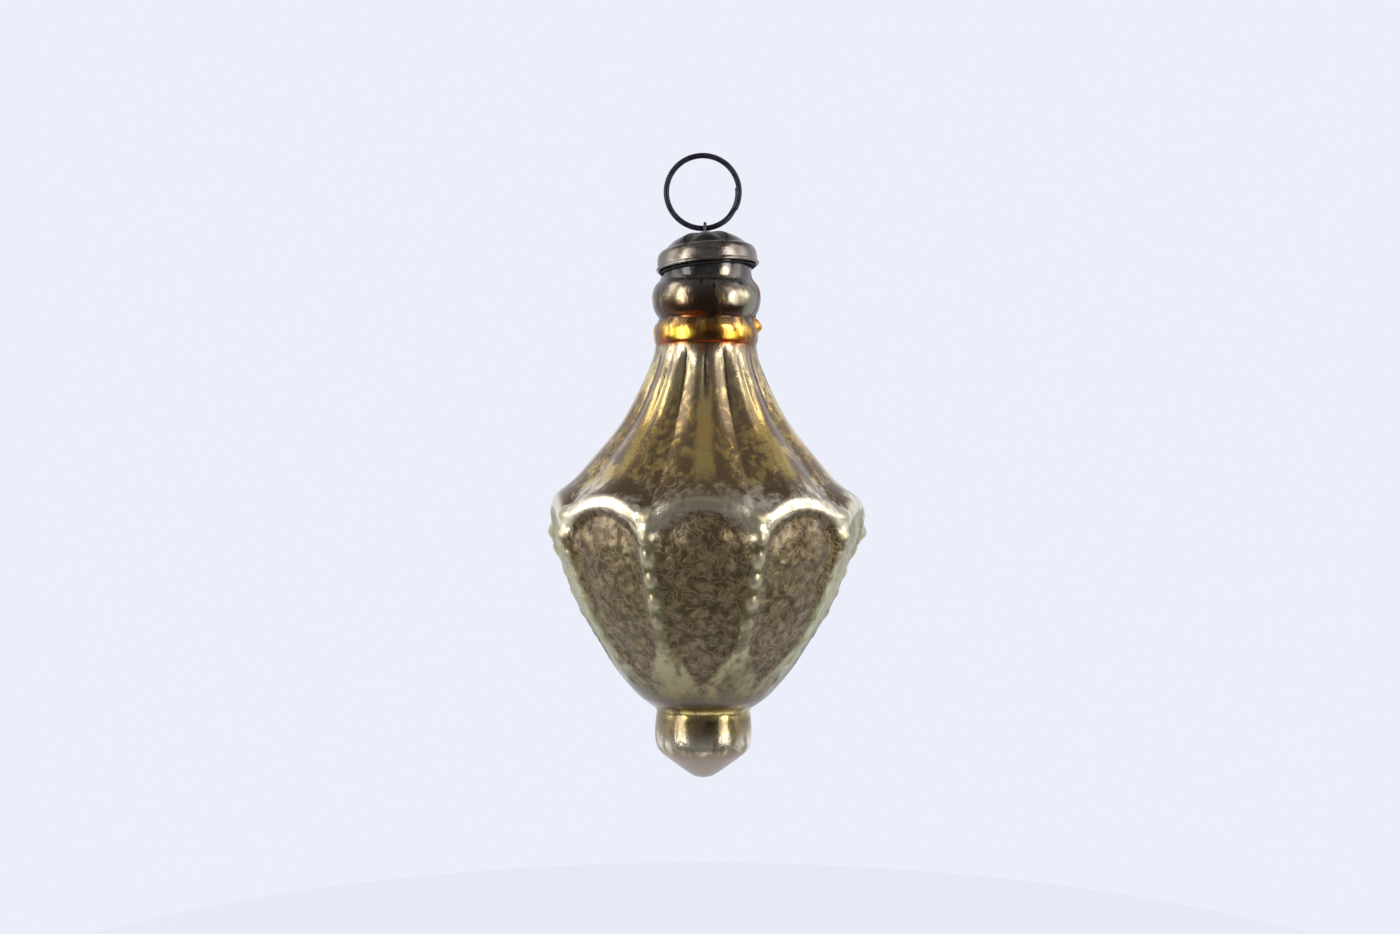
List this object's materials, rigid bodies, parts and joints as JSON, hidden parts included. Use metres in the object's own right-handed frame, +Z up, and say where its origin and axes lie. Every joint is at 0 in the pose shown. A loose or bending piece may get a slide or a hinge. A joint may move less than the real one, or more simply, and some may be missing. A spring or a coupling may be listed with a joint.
{
  "type": "christmas ornament",
  "caption": "Hanging blown glass bauble with fluted shoulder, arched panels, beaded ribs and finial, under a pressed metal cap with a wire hanging ring.",
  "frame": {"origin": "the point inside the top of the hanging ring where a hook or thread bears", "axes": "+Z up along the hanging ornament, +X to the right seen from the front, +Y away from the front"},
  "size_m": [0.0568, 0.0562, 0.1124],
  "materials": {
    "lacquered_glass": "silvered inside and lacquered gold, brown and olive, glossy",
    "cap_metal": "antiqued, satin",
    "spring_wire": "drawn wire, dull",
    "iron_wire": "annealed black, satin",
    "black_cement": "matt"
  },
  "bodies": {
    "ring": {"hanger_ring": "iron_wire"},
    "ornament": {"glass_body": "lacquered_glass", "cap": "cap_metal", "spring_clip": "spring_wire", "cement_bead": "black_cement"}
  },
  "joints": [
    {"name": "swing", "type": "hinge", "parent": "ring", "child": "ornament", "pos_m": [0, 0, -0.0126], "axis": [1, 0, 0], "range_deg": [-80, 80]}
  ]
}
